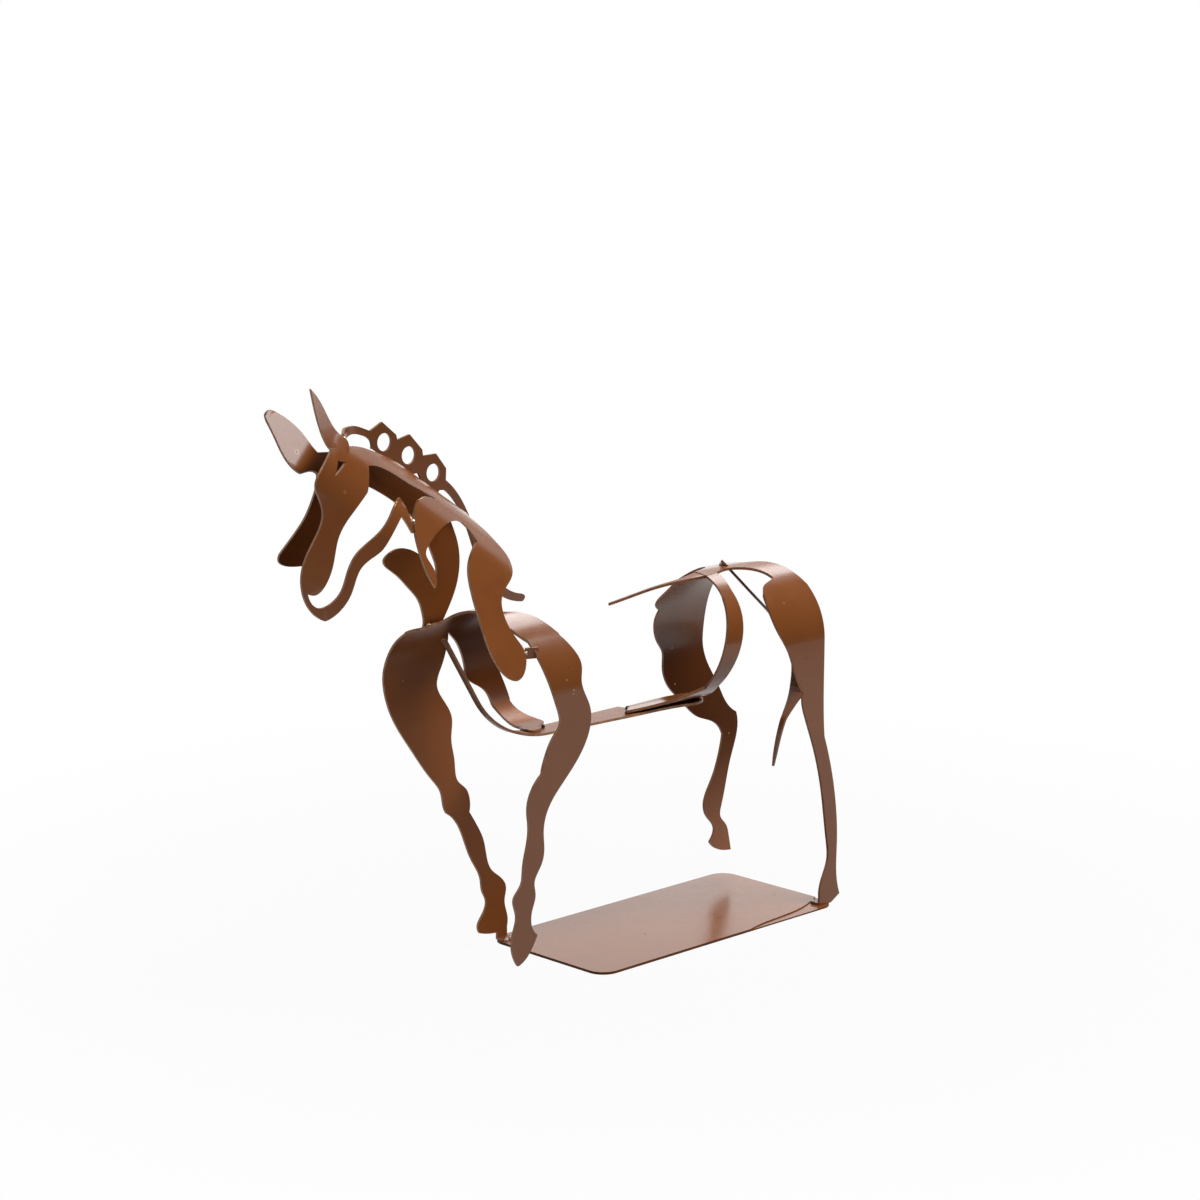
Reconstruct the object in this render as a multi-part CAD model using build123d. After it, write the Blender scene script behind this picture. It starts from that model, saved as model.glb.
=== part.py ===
from build123d import *
import math
import os

# A trotting horse cut from thin painted sheet iron and bent by hand.
# Every piece is one flat blank, rolled about one direction and tack welded
# to its neighbours.  The horse faces -X, its left side is -Y and +Z is up.
# The origin is the middle of the base plate's underside.

# Sheet
sheet = 1.0
seam = 0.15

# Base plate
base_length = 130.0
base_width = 62.0
base_corner = 7.0
corner_step = 0.4

# Body: the legs hang from two inverted U bends of the same width
half_width = 28.0
hip_height = 109.0
belly_height = 88.6

# Belly strap, flat under the body and rising in front of the chest
strap_width = 13.6
chest_width = 2.3
chest_bend = 35.0
chest_angle = 58.5
chest_length = 29.0

# Neck: two sheets rolled away from the crest, with the mane between them
crest_slope = 34.0
neck_roll = 9.0
cheek_roll = 25.0
near_splay = 23.0
far_splay = 20.0
near_drop = 0.8
ear_reach = 10.3

# Mane, tail and joints
mane_hole = 6.3
arch_bend = 27.0
tail_width = 8.7
foot_tab = 4.0
bead = 1.1

# Levels worked out from the sizes above
back = hip_height + half_width
base_top = sheet
heel_floor = base_top - corner_step
lean = math.radians(crest_slope)
quarter = half_width * math.sin(math.radians(45.0))
eighth = 28.0 * math.sin(math.radians(45.0))
hip_split = 109.0 + eighth
flank_radius = (back - belly_height - sheet / 2) / 2
flank_height = back - flank_radius
girth_radius = hip_height - belly_height - sheet / 2
girth_middle = half_width - girth_radius


def body(points):
    """Side view points of a leg: heights follow the hip, and above it the bend."""
    placed = []
    for x, z in points:
        if z <= 109.0:
            placed.append((x, z * hip_height / 109.0))
        else:
            placed.append((x, hip_height + (z - 109.0) * half_width / 28.0))
    return placed


def over(points):
    """Plan view points across the top of a bend."""
    return [(x, y * half_width / 28.0) for x, y in points]


def above(points):
    """Side view points measured from the back, for the neck and the mane."""
    return [(x, z - 137.0 + back) for x, z in points]


def outline(*runs):
    """A closed face: each run is a smooth curve, or a line where it has two points."""
    edges = []
    for run in runs:
        edges.append(Line(*run) if len(run) == 2 else Spline(*run))
    if (Vector(*runs[-1][-1]) - Vector(*runs[0][0])).length > 1e-6:
        edges.append(Line(runs[-1][-1], runs[0][0]))
    return make_face(edges)


def past(last, first, rise):
    """Three lines from last back to first, a little past the line where the next view takes over."""
    far_last = (last[0], last[1] + rise)
    far_first = (first[0], first[1] + rise)
    return [[last, far_last], [far_last, far_first], [far_first, first]]


def from_side(face, y_near, y_far):
    """A side view outline cut through from y_near to y_far."""
    placed = Plane.XZ.offset(-y_near) * face
    way = 1.0 if y_far > y_near else -1.0
    return extrude(placed, amount=abs(y_far - y_near), dir=(0, way, 0))


def from_above(face, z_low, z_high):
    """A plan view outline cut through from z_low to z_high."""
    return extrude(Plane.XY.offset(z_low) * face, amount=z_high - z_low)


def box(x0, x1, y0, y1, z0, z1):
    """A plain block between two corners."""
    middle = Pos((x0 + x1) / 2, (y0 + y1) / 2, (z0 + z1) / 2)
    return middle * Box(x1 - x0, y1 - y0, z1 - z0)


def saddle_bend(x0, x1):
    """The inverted U: two upright sides joined by a half round over the back."""
    ring = Circle(half_width + sheet / 2) - Circle(half_width - sheet / 2)
    upper = Pos(0, half_width) * Rectangle(4 * half_width, 2 * half_width)
    section = Pos(0, hip_height) * (ring & upper)
    for side in (-1, 1):
        section += Pos(side * half_width, hip_height / 2) * Rectangle(sheet, hip_height)
    return extrude(Plane.YZ.offset(x0) * section, amount=x1 - x0)


def make_base_plate():
    plate = extrude(RectangleRounded(base_length, base_width, base_corner), amount=base_top)
    # The corner under the standing hind foot is pressed down along a curved line
    edge = -base_width / 2
    inner = -half_width + foot_tab + 0.6
    end = base_length / 2 + 1
    curve = [(12, edge - 1), (35, edge + 3.1), (49, edge + 5), (57, inner), (end, inner + 4)]
    corner = outline(curve, [curve[-1], (end, edge - 1)], [(end, edge - 1), curve[0]])
    return plate - from_above(corner, heel_floor, base_top + 1)


def make_forequarters():
    """Both forelegs, the withers between them and the girth, from one blank."""
    bend = saddle_bend(-125, -55)
    top_front = over([(-92, -eighth), (-95.7, -15), (-97, -8), (-97.5, 0), (-98.3, 9), (-98.8, 13.8)])
    tip = over([(-98.8, 13.8), (-100, 16.6), (-104, 17.4)])
    leg_top = over([(-104, 17.4), (-107, 18.8), (-111, 19), (-115, eighth)])
    far_line = over([(-115, eighth), (-71, eighth)])
    top_rear = over([(-71, eighth), (-77, 14), (-85, 8), (-90, 2), (-90.4, -4.4), (-85, -7.1),
                     (-81, -11.2), (-78.6, -16), (-76.5, -eighth)])
    withers = from_above(outline(top_front, tip, leg_top, far_line, top_rear), hip_height, back + 9)

    near_front = body([(-92, hip_split), (-90.3, 119.6), (-87.9, 111.7), (-84.9, 104), (-84, 98),
                       (-86.9, 94.5), (-90.5, 88.9), (-93.1, 81.5)])
    near_knee = body([(-93.1, 81.5), (-97.1, 77.5), (-100, 70), (-99.5, 63), (-100.2, 57.2),
                      (-102.3, 48), (-103.3, 42.5), (-106.9, 37.8), (-105.7, 31), (-106.7, 26.8),
                      (-108, 21.5), (-106.8, 15.5), (-105.1, 12.7)])
    near_hoof = body([(-105.1, 12.7), (-101.3, 14.6), (-97.9, 18.4), (-95.5, 22.5)])
    near_rear = body([(-95.5, 22.5), (-98.6, 28.2), (-98.1, 32), (-96.4, 37.5), (-96.9, 42.1),
                      (-93.3, 48.5), (-92, 54.3), (-92.3, 60.1), (-90.3, 67.7), (-82.9, 76.4),
                      (-73.9, 85.7), (-69, 95), (-69, 102.5), (-73, 113), (-71.8, 118),
                      (-73.9, 124.8), (-76.5, hip_split)])
    near_top = past(near_rear[-1], near_front[0], 2)
    near_leg = from_side(outline(near_front, near_knee, near_hoof, near_rear, *near_top), -quarter, -99)

    far_front = body([(-115, hip_split), (-116.8, 126.4), (-118.2, 121), (-118.8, 110), (-115.5, 97.7),
                      (-105.6, 82.3), (-95.9, 69.6), (-91.5, 63.5), (-90.5, 58.5), (-89.1, 55.4)])
    far_shin = body([(-89.1, 55.4), (-83.9, 50.6), (-80.2, 43), (-76.5, 34.6), (-72.1, 26),
                     (-71.4, 21.5), (-69.6, 17.6), (-70.3, 14), (-73.7, 9), (-73.1, 5.5)])
    far_sole = body([(-73.1, 5.5), (-68, 4.2), (-64, 3.9)])
    tab_front = [far_sole[-1], (-64, base_top)]
    tab_rear = [(-64, base_top), (-59, base_top)]
    tab_side = [tab_rear[-1], body([(-59, 5.4)])[0]]
    far_rear = [tab_side[-1]] + body([(-58.8, 9.5), (-60.2, 16), (-59.4, 21), (-62.1, 25.3), (-67, 29.5),
                                      (-70.7, 41.6), (-74.1, 48.3), (-77.8, 54)])
    far_knee = body([(-77.8, 54), (-77.5, 58.5), (-79.4, 63.3), (-83.4, 67), (-85, 75.2),
                     (-86.5, 84), (-86, 91), (-90.2, 99.1), (-93.3, 105.5), (-90.7, 113),
                     (-90, 118), (-94, 127.3)])
    far_top = [far_knee[-1], body([(-90, hip_split)])[0]]
    far_leg = outline(far_front, far_shin, far_sole, tab_front, tab_rear, tab_side, far_rear, far_knee,
                      far_top, *past(far_top[-1], far_front[0], 2))
    far_leg = from_side(far_leg, quarter, 99)

    girth_front = body([(-96, hip_split), (-92.4, 125.8), (-86.7, 121.6), (-82, 116.2), (-79.2, 109)])
    girth_rear = body([(-63.5, 109), (-66, 118), (-71, hip_split)])
    girth_top = outline(girth_front, [girth_front[-1], girth_rear[0]], girth_rear,
                        *past(girth_rear[-1], girth_front[0], 2))
    girth_top = from_side(girth_top, quarter, 99)

    # The girth leaves the bend and rolls in under the body to lie on the strap
    low_ring = Circle(girth_radius + sheet / 2) - Circle(girth_radius - sheet / 2)
    corner = Pos(girth_radius, -girth_radius) * Rectangle(2 * girth_radius, 2 * girth_radius)
    section = Pos(girth_middle, hip_height) * (low_ring & corner)
    flat_end = min(-3.0, girth_middle - 6.0)
    flat = Rectangle(girth_middle - flat_end, sheet)
    section += Pos((girth_middle + flat_end) / 2, belly_height + sheet / 2) * flat
    roll = extrude(Plane.YZ.offset(-90) * section, amount=50)
    split = girth_middle + girth_radius * math.sin(math.radians(45.0))
    low = hip_height - girth_radius * math.sin(math.radians(45.0))
    drop = hip_height - low
    rib_front = [(-79.2, hip_height), (-77.3, low + 0.66 * drop), (-72.5, low + 0.44 * drop), (-70.8, low)]
    rib_rear = [(-62, low), (-61, low + 0.4 * drop), (-62, low + 0.72 * drop), (-63.5, hip_height)]
    rib = from_side(outline(rib_front, *past(rib_front[-1], rib_rear[0], -2), rib_rear), split, 99)
    foot_front = [(-70.8, split), (-70.4, 17.5), (-71.6, 9), (-72, 6)]
    foot_end = [(-72, 6), (-73.2, 2.6), (-72.2, -1.8), (-68, -1), (-63.5, 3), (-59.6, 6)]
    foot_rear = [(-59.6, 6), (-58.9, 11.3), (-60.9, 17), (-62, split)]
    foot = outline(foot_front, foot_end, foot_rear)
    foot = from_above(foot, belly_height - 5, hip_height)
    girth = (roll & rib) + (roll & foot) - make_belly_strap(seam)

    blank = (bend & withers) + (bend & near_leg) + (bend & far_leg) + (bend & girth_top) + girth
    # The standing forefoot has a small tab turned in flat on the plate
    blank += box(-64, -59, half_width - foot_tab, half_width, base_top, base_top + sheet)
    # A second tab reaches from the near leg to the edge of the shoulder blade
    blade, leg = shoulder_tab()
    middle = (blade + leg) / 2
    along = leg - blade
    place = Plane(origin=middle, x_dir=along, z_dir=along.cross(Vector(0, 0, 1)))
    return blank + place * Box(along.length, foot_tab, sheet)


def make_hindquarters():
    """Both hind legs, the croup, the pointed loin and the flank hoop, from one blank."""
    bend = saddle_bend(0, 90)
    croup_rear = over([(57.6, -eighth), (55, -12), (52.2, -6), (48.4, -2.6), (42, 0), (39.5, 4), (41, 10),
                       (46.5, 17), (48, eighth)])
    croup_far = over([(48, eighth), (24.3, eighth)])
    croup_front = over([(24.3, eighth), (26.8, 15), (27.4, 9), (25, 4), (20, 1), (14, -0.8)])
    croup_edge = over([(14, -0.8), (14, -6.6)])
    croup_near = over([(14, -6.6), (21.5, -5.4), (29.5, -3.6), (36.2, -5.6), (41.1, -9.6), (43.3, -14.8)])
    hip_near = over([(43.3, -14.8), (38.9, -16.3), (34.5, -17.8), (32.2, -eighth)])
    hip_line = over([(32.2, -eighth), (57.6, -eighth)])
    croup = outline(croup_rear, croup_far, croup_front, croup_edge, croup_near, hip_near, hip_line)
    croup = bend & from_above(croup, hip_height, back + 9)

    # The loin is the same bend, tipped down a little towards its point
    ring = Circle(half_width + sheet / 2) - Circle(half_width - sheet / 2)
    arch = extrude(Plane.YZ.offset(-40) * (Pos(0, hip_height) * ring), amount=56)
    arch = arch.rotate(Axis((16, 0, back), (0, 1, 0)), -7.3)
    loin_near = [(15.2, -6.2), (8, -4.4), (1, -2.6), (-6, -1.1), (-16, -0.5), (-31.5, -0.3)]
    loin_far = [(-31.5, 0.3), (-16, 0.3), (-5, -0.1), (3, -1.2), (10, -1.2), (15.2, -0.7)]
    loin = outline(loin_near, [loin_near[-1], loin_far[0]], loin_far)
    loin = arch & from_above(loin, back - 15, back + 9)

    near_front = body([(32.2, hip_split), (30.7, 121.5), (32.2, 115.5), (38, 106.3), (40.9, 99.7),
                       (46.5, 89)])
    near_gaskin = body([(46.5, 89), (46.3, 85), (47.9, 79.5), (53.3, 66), (58.6, 46.9), (61.8, 27.2),
                        (62.4, 18.5), (58.9, 10.2), (57.9, 4)])
    near_sole = [near_gaskin[-1], (57.6, heel_floor)]
    near_ground = [(57.6, heel_floor), (64.6, heel_floor)]
    near_heel = [near_ground[-1], (69.7, heel_floor + 2.8)]
    near_rear = [near_heel[-1]] + body([(67.5, 13.5), (67.7, 25), (66.5, 41.8), (64.6, 51.9), (59.3, 69.5)])
    near_thigh = body([(59.3, 69.5), (58.6, 80), (58.5, 97), (58.5, 113), (57.6, hip_split)])
    near = outline(near_front, near_gaskin, near_sole, near_ground, near_heel, near_rear, near_thigh,
                   *past(near_thigh[-1], near_front[0], 2))
    near = bend & from_side(near, -quarter, -99)

    far_front = body([(24.3, hip_split), (22.5, 125), (19.9, 121.4), (22.6, 117.2)])
    far_thigh = body([(22.6, 117.2), (21.1, 109.5), (22.9, 104), (25.8, 99.5), (25.9, 94),
                      (28.5, 86), (36.4, 78.1), (46.5, 69.8), (55.4, 66.3), (60.6, 60.3)])
    far_shin = body([(60.6, 60.3), (58.9, 52.9), (54.9, 43.1), (50, 32.2), (51.4, 27.8), (55.2, 23.5),
                     (53.4, 16.4)])
    far_hoof = body([(53.4, 16.4), (56.2, 13.5), (61, 11.5), (66, 10.8)])
    far_heel = body([(66, 10.8), (64.5, 18), (63, 22), (59.6, 26.2), (60.4, 31.5), (65.4, 49.7),
                     (69.4, 64.4), (68.5, 68.6)])
    far_rear = body([(68.5, 68.6), (61, 75.7), (58, 81.1), (51.5, 91.3), (48.5, 100), (49.5, 112),
                     (49.6, 119), (48, hip_split)])
    far = outline(far_front, far_thigh, far_shin, far_hoof, far_heel, far_rear,
                  *past(far_rear[-1], far_front[0], 2))
    far = bend & from_side(far, quarter, 99)

    # The flank hoop leaves the croup, bows out on the near side and comes in on the strap
    hoop_ring = Circle(flank_radius + sheet / 2) - Circle(flank_radius - sheet / 2)
    hoop_ring = Pos(0, flank_height) * hoop_ring
    ring_solid = extrude(Plane.YZ.offset(-35) * hoop_ring, amount=65)
    step = flank_radius * math.sin(math.radians(45.0))
    crown = outline([(14.8, -4.4), (21, -4.4)], [(21, -4.4), (21.2, -6), (20.2, -11), (18.6, -step)],
                    [(18.6, -step), (12.4, -step)], [(12.4, -step), (13.8, -11.4), (14.6, -6), (14.8, -4.4)])
    crown = ring_solid & from_above(crown, flank_height, back + 9)
    up = flank_height + step
    down = flank_height - step
    side_rear = [(18.6, up), (17.3, flank_height + 7), (15.3, flank_height - 1), (13.2, flank_height - 8),
                 (10.6, down)]
    side_front = [(3.4, down), (5.4, flank_height - 5), (7, flank_height + 1), (9.6, flank_height + 9),
                  (12.4, up)]
    side = outline(side_rear, *past(side_rear[-1], side_front[0], -2), side_front,
                   *past(side_front[-1], side_rear[0], 2))
    side = ring_solid & from_side(side, -step, -99)
    sole_rear = [(10.6, -step), (11.8, -12), (13.4, -6), (14.6, 0)]
    sole_far = [(14.6, 0), (8, 2.3), (-6, 2.8), (-19, 2)]
    sole_front = [(-27, -5), (-15, -9.2), (-5, -14), (3.4, -step)]
    sole = outline(sole_rear, sole_far, [sole_far[-1], sole_front[0]], sole_front,
                   [sole_front[-1], sole_rear[0]])
    sole_cut = from_above(sole, belly_height - 5, flank_height)
    sole = ring_solid & sole_cut & box(-40, 40, -60, 0, 0, flank_height)
    rest = sole_cut & box(-40, 40, 0, 60, belly_height, belly_height + sheet)
    blank = croup + loin + near + far + crown + side + sole + rest
    # The standing hind foot has its tab turned in flat on the plate
    blank += box(57.6, 64.6, -half_width, -half_width + foot_tab, heel_floor, heel_floor + sheet)
    # The root of the tail goes through a slot in the croup
    return blank - tail_strip(tail_stations()[:3], 2 * seam)


def make_belly_strap(extra):
    """Tongue at the rear, flat under the body, a thin strip rising in front of the chest."""
    turn = math.radians(chest_angle)
    flat_z = belly_height - sheet / 2
    bend_x = -68.9
    bend_end = (bend_x - chest_bend * math.sin(turn), flat_z + chest_bend * (1 - math.cos(turn)))
    tip = (bend_end[0] - chest_length * math.cos(turn), bend_end[1] + chest_length * math.sin(turn))
    path = Line((20, flat_z), (bend_x, flat_z))
    path += CenterArc((bend_x, flat_z + chest_bend), chest_bend, 270, -chest_angle)
    path += Line(bend_end, tip)
    strip = extrude(Plane.XZ * trace(path, sheet + extra), amount=3 * strap_width, both=True)
    wide = strap_width / 2
    thin = chest_width / 2
    near = [(-120, -0.5 * thin), (-106, -thin), (-92, -thin), (-84, -thin - 0.6), (-77, -0.46 * wide),
            (-68, -0.7 * wide)]
    far = [(x, -y) for x, y in reversed(near)]
    near_end = [(-20, -wide), (-8, -wide - 0.3), (1.5, -wide - 1.6), (6, -wide - 2.5), (11, -wide - 1.3),
                (16, -2.8), (18, 1)]
    far_end = [(18, 1), (16, 4), (9, wide - 1), (-20, wide)]
    plan = outline(near, [near[-1], near_end[0]], near_end, far_end, [far_end[-1], far[0]], far,
                   [far[-1], near[0]])
    return strip & from_above(plan, 0, back + 20)


def neck_plane():
    """A plane square to the crest: x runs along +Y and y away from the crest."""
    along = (math.cos(lean), 0, -math.sin(lean))
    return Plane(origin=(-132.5, 0, back + 56.7), x_dir=(0, 1, 0), z_dir=along)


def neck_reach(x, z, splay, drop):
    """How far the splayed part of a neck sheet stands from the middle."""
    out = math.radians(splay)
    depth = (crest_line(x)[1] - z) * math.cos(lean) - drop
    straight = depth - neck_roll * (1 - math.sin(out))
    return sheet / 2 + neck_roll * math.cos(out) + straight * math.tan(out)


def shoulder_tab():
    """The two ends of the tab between the shoulder blade and the near foreleg."""
    x, z = above([(-94.6, 124.8)])[0]
    blade = Vector(x + 2 * seam, -neck_reach(x, z, near_splay, near_drop), z)
    leg = Vector(-89.6, -math.sqrt(half_width ** 2 - (z - hip_height) ** 2), z)
    return blade, leg


def neck_bend(splay, rolled_cheek, drop):
    """The near half of the neck section, swept along the crest a little below it."""
    turn = 90.0 - splay
    first = CenterArc((-sheet / 2, -neck_roll - drop), neck_roll, 90, turn)
    end = first @ 1
    way = first % 1
    if not rolled_cheek:
        path = first + Line(end, end + way * 70)
    else:
        flat = Line(end, end + way * 10.5)
        inside = Vector(-way.Y, way.X)
        middle = flat @ 1 + inside * cheek_roll
        second = CenterArc((middle.X, middle.Y), cheek_roll, 90 + turn, splay + 8)
        path = first + flat + second + Line(second @ 1, second @ 1 + (second % 1) * 50)
    section = trace(path, sheet)
    return extrude(neck_plane() * section, amount=95, both=True)


def crest_line(x, rise=0.0):
    """A point on the crest, in the side view."""
    return (x, back + 56.7 + rise - math.tan(lean) * (x + 132.5))


def make_near_neck():
    """Left ear, face, jaw, throat and shoulder blade."""
    top = [crest_line(-128, 0.6), crest_line(-128, 4), crest_line(-107.4, 4)] + above([(-106.4, 173.5)])
    shoulder_top = [list(pair) for pair in zip(top[:-1], top[1:])]
    blade_rear = above([(-106.4, 173.5), (-101.2, 169.1), (-94.6, 162), (-91, 156.8), (-90.6, 153),
                        (-96.5, 148.2), (-101.4, 143.5), (-101.7, 139.5), (-96.7, 129.3),
                        (-94.6, 125.5), (-95.7, 121.2), (-99, 118), (-104.6, 117.2)])
    blade_front = above([(-104.6, 117.2), (-109, 119.8), (-113.7, 127.1), (-115.7, 137.1),
                         (-116.7, 149.5), (-115, 158.2), (-111.5, 162.1), (-106.9, 165.5)])
    window = above([(-106.9, 165.5), (-108.8, 168.4), (-113.1, 172.8)])
    arch = above([(-113.1, 172.8), (-118.8, 174), (-126.4, 172.2), (-134.1, 168.5), (-137.1, 165.7),
                  (-135, 160.9), (-134.4, 157), (-136.2, 154.1)])
    throat = above([(-136.2, 154.1), (-139.4, 161.6), (-140.3, 167.6), (-140.2, 172.9), (-139.4, 176.9)])
    throat_top = above([(-139.4, 176.9), (-136, 181.8), (-132, 184), (-128, 183.6), (-124.2, 182.2)])
    strip = above([(-124.2, 182.2), (-131.3, 186.4)])
    shoulder = outline(*shoulder_top, blade_rear, blade_front, window, arch, throat, throat_top, strip)
    shoulder = neck_bend(near_splay, False, near_drop) & from_side(shoulder, 1, -60)

    brow = [crest_line(-128, 0.6)] + above([(-136.4, 195.3), (-144.9, 199.1), (-151.5, 201.7),
                                            (-158.5, 204.1), (-165.4, 205.1)])
    forehead = above([(-165.4, 205.1), (-173.5, 205.4)])
    nose = above([(-173.5, 205.4), (-176.4, 203), (-179.3, 200.4), (-183.1, 194.3), (-180.6, 188),
                  (-179.5, 183), (-182, 176.1), (-186.4, 166.4), (-186.4, 159.5), (-183.7, 152.8),
                  (-176.1, 146.5)])
    chin = above([(-176.1, 146.5), (-169.7, 149.8), (-166.1, 154.5), (-164.5, 159.2), (-162.8, 163),
                  (-158.8, 166.1), (-154.3, 168.6), (-150.9, 172.8), (-147.8, 176.7), (-145, 179.5)])
    spike = above([(-145, 179.5), (-142.9, 176.4), (-140.9, 173)])
    cheek = above([(-140.5, 173.2), (-140.6, 177), (-142, 182), (-144, 185.5)])
    jaw = above([(-144, 185.5), (-148.8, 182), (-152.7, 177.7), (-158.7, 172.9), (-164.6, 168.6),
                 (-167.8, 162.7), (-170.4, 155.5), (-177.2, 151.4), (-184, 157.1)])
    lip = above([(-184, 157.1), (-179.5, 156.6), (-176.6, 159.6), (-174, 167), (-172.7, 175),
                 (-166.9, 183.7), (-160.2, 189.3)])
    nape = above([(-160.2, 189.3), (-157.7, 194.3), (-156.6, 197.7)])
    near_edge = above([(-156.6, 197.7), (-151, 196.7), (-141.2, 191.9), (-131.3, 186.4)])
    head = outline(brow, forehead, nose, chin, spike, [spike[-1], cheek[0]], cheek, jaw, lip, nape,
                   near_edge)
    head = neck_bend(near_splay, True, near_drop) & from_side(head, 1, -60)
    eye = outline(*[above(side) for side in ([(-171.9, 201.4), (-167.9, 200.2)],
                                             [(-167.9, 200.2), (-174.6, 196.4)])])
    head -= from_side(eye, 1, -60)

    ear_front = above([(-172.4, 204), (-175, 206.9), (-177.4, 211.9), (-179.2, 217.4), (-181.3, 226)])
    ear_rear = above([(-181.3, 226), (-175.4, 218.2), (-169.5, 210), (-166.2, 207.5), (-165.6, 203)])
    ear = from_side(outline(ear_front, ear_rear), -ear_reach, -ear_reach - sheet)
    return shoulder + head + ear


def make_far_neck():
    """Right ear, cheek, neck and breast, from the opposite blank."""
    top = [crest_line(-134, 4), crest_line(-112, 4)]
    strip_rear = [crest_line(-112, 4)] + above([(-108.2, 176), (-103.5, 169.7), (-98.6, 161.2),
                                                (-95.8, 150.3), (-95.7, 144.6), (-98.1, 132.5),
                                                (-99.6, 127)])
    foot = above([(-99.6, 127), (-106.6, 127)])
    lobe = above([(-106.6, 127), (-105.8, 130.5), (-107.2, 135.3), (-110, 140.6), (-115.4, 146.2),
                  (-122, 152.1), (-127.4, 158), (-124.4, 161.1), (-117.4, 160.7), (-110.6, 155.8),
                  (-105, 147.4)])
    strip_front = above([(-105, 147.4), (-105.5, 153), (-108, 157.7), (-112.6, 165.5), (-120.3, 174),
                         (-128.9, 180.4), (-139.6, 186.5), (-150, 190.8)])
    poll = above([(-150, 190.8), (-153, 202.3)])
    brow = above([(-153, 202.3), (-144.9, 199.6)]) + [crest_line(-134, 4)]
    neck = outline(top, strip_rear, foot, lobe, strip_front, poll, brow)
    neck = neck_bend(far_splay, False, 0) & from_side(neck, 1, -60)

    cheek_top = above([(-150, 198.5), (-158, 200), (-164, 199.8)])
    cheek_front = above([(-164, 199.8), (-162.4, 196.8), (-159.8, 191.3), (-160.6, 185.3), (-168.6, 174.9),
                         (-178.4, 167.2)])
    cheek_end = above([(-178.4, 167.2), (-179.2, 164.8), (-174.8, 162.4), (-166, 161.4)])
    cheek_rear = above([(-166, 161.4), (-157, 172), (-151, 184), (-148, 190.6)])
    cheek = outline(cheek_top, cheek_front, cheek_end, cheek_rear)
    cheek = neck_bend(far_splay, True, 0) & from_side(cheek, 1, -60)
    half = mirror(neck + cheek, about=Plane.XZ)

    # The far ear leans out from the neck like an open leaf
    tilt = 35.0
    slope = Plane(origin=(-160, 9.0, back + 61), x_dir=(1, 0, 0),
                  z_dir=(0, -math.cos(math.radians(tilt)), math.sin(math.radians(tilt))))
    leaf_low = [(-5.4, -6), (-7.4, -3.9), (-10.6, -4), (-12.6, -4.2)]
    leaf_side = [(-12.6, -4.2), (-14.2, -2.6), (-16.6, 6.3), (-16.9, 14), (-16.4, 19.9), (-13.6, 20.7)]
    leaf_top = [(-13.6, 20.7), (-8.1, 15.9), (-4.7, 10.1), (-3, 4.8), (-2, 2.6)]
    leaf = outline(leaf_low, leaf_side, leaf_top, [(-2, 2.6), (4, 2.1)], [(4, 2.1), (4, -6)])
    ear = extrude(slope * leaf, amount=sheet)
    # Its foot is trimmed to stand on the bend above the far foreleg
    saddle = Plane.YZ.offset(-130) * (Pos(0, hip_height) * Circle(half_width + sheet / 2 + seam))
    return half + ear - extrude(saddle, amount=70)


def make_mane():
    """Flat comb along the crest: an arch, three pierced crests and a long tail."""
    bend_x = -146.0
    sweep = ear_reach - sheet / 2 - 0.4
    end_x = bend_x - math.sqrt(arch_bend ** 2 - (arch_bend - sweep) ** 2)
    arch_out = above([(end_x, 209.4), (-164, 210.5), (-159.5, 210.6), (-155.2, 210.3), (-151.2, 209.2),
                      (-146.9, 207.6)])
    crests = above([(-146.9, 207.6), (-141.5, 210.2), (-135.2, 205.1), (-134.8, 203.3), (-129.1, 204.7),
                    (-123.4, 198.8), (-123.1, 196.6), (-117, 196.7), (-112.4, 191), (-112.6, 186.8)])
    crest_edges = [list(pair) for pair in zip(crests[:-1], crests[1:])]
    rear_out = above([(-112.6, 186.8), (-104.4, 177.7), (-99.6, 168.2), (-95, 158), (-85, 144.9),
                      (-76.5, 141.2)])
    rod = above([(-76.5, 141.2), (-74.8, 139.9), (-76, 138.3)])
    rear_in = above([(-76, 138.3), (-85.5, 141.3), (-96, 153), (-102.3, 168), (-109, 179.6),
                     (-113, 183.3)])
    feet = [rear_in[-1]] + above([(-115.6, 183.6)]) + [crest_line(-117.2, -1.4), crest_line(-122.6, -1.4)]
    feet += above([(-125.3, 190.7), (-127.4, 190.6)]) + [crest_line(-128.4, -1.4), crest_line(-134.4, -1.4)]
    feet += above([(-136.4, 196.9)]) + [crest_line(-138, -1.4), crest_line(-145.2, -1.4)]
    feet += above([(-146.4, 201.4)])
    feet_edges = [list(pair) for pair in zip(feet[:-1], feet[1:])]
    arch_in = [feet[-1]] + above([(-147.1, 204.5), (-150.7, 206.4), (-154.7, 207.4), (-158.8, 207.6),
                                  (-162, 207), (end_x, 206.4)])
    end = [arch_in[-1], arch_out[0]]
    plate = outline(arch_out, *crest_edges, rear_out, rod, rear_in, *feet_edges, arch_in, end)
    for x, z in above([(-140.7, 203.1), (-129.7, 197.4), (-118.4, 190.1)]):
        plate -= Pos(x, z) * Circle(mane_hole / 2)
    # Flat along the crest, its front arch curves over to the root of the near ear
    path = Line((-60, 0), (bend_x, 0)) + CenterArc((bend_x, -arch_bend), arch_bend, 90, 60)
    strip = extrude(trace(path, sheet), amount=back + 90)
    return strip & from_side(plate, 20, -20)


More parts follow.
